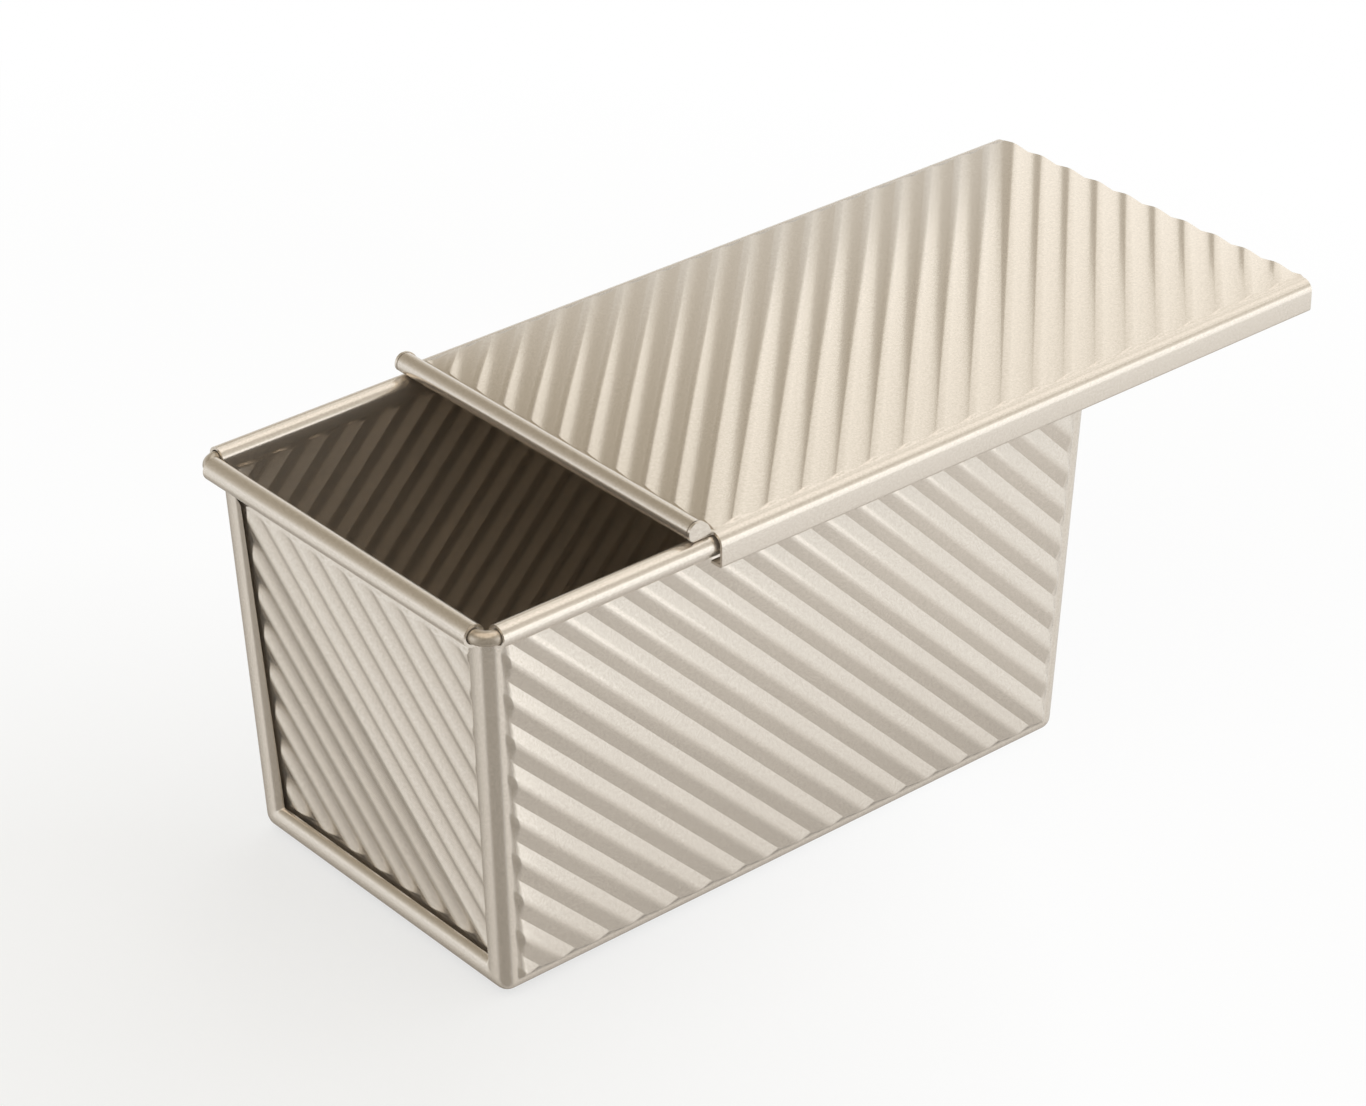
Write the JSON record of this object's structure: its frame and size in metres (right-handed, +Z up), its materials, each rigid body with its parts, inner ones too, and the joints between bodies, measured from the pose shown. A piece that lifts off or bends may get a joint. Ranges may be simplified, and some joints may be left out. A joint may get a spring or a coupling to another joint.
{
  "type": "lidded loaf pan",
  "caption": "Straight-sided loaf pan of diagonally ribbed sheet metal, with hemmed corners, wire-stiffened curled rims and a flat lid that slides along the rims.",
  "frame": {"origin": "middle of the pan's bottom, on the level of the rib crests that it rests on", "axes": "+X along the pan, the way the lid slides off; +Y across it; +Z up"},
  "size_m": [0.2858, 0.125, 0.1206],
  "materials": {
    "body_wrapper": "satin champagne non-stick coating on steel sheet",
    "front_end_plate": "satin champagne non-stick coating on steel sheet",
    "rear_end_plate": "satin champagne non-stick coating on steel sheet",
    "rim_wire": "satin champagne non-stick coating on steel wire",
    "lid_panel": "satin champagne non-stick coating on steel sheet"
  },
  "bodies": {
    "pan": {"body_wrapper": "body_wrapper", "front_end_plate": "front_end_plate", "rear_end_plate": "rear_end_plate", "rim_wire": "rim_wire"},
    "lid": {"lid_panel": "lid_panel"}
  },
  "joints": [
    {"name": "lid_slide", "type": "slide", "parent": "pan", "child": "lid", "axis": [1, 0, 0], "range_m": [-0.0725, 0.15]}
  ]
}
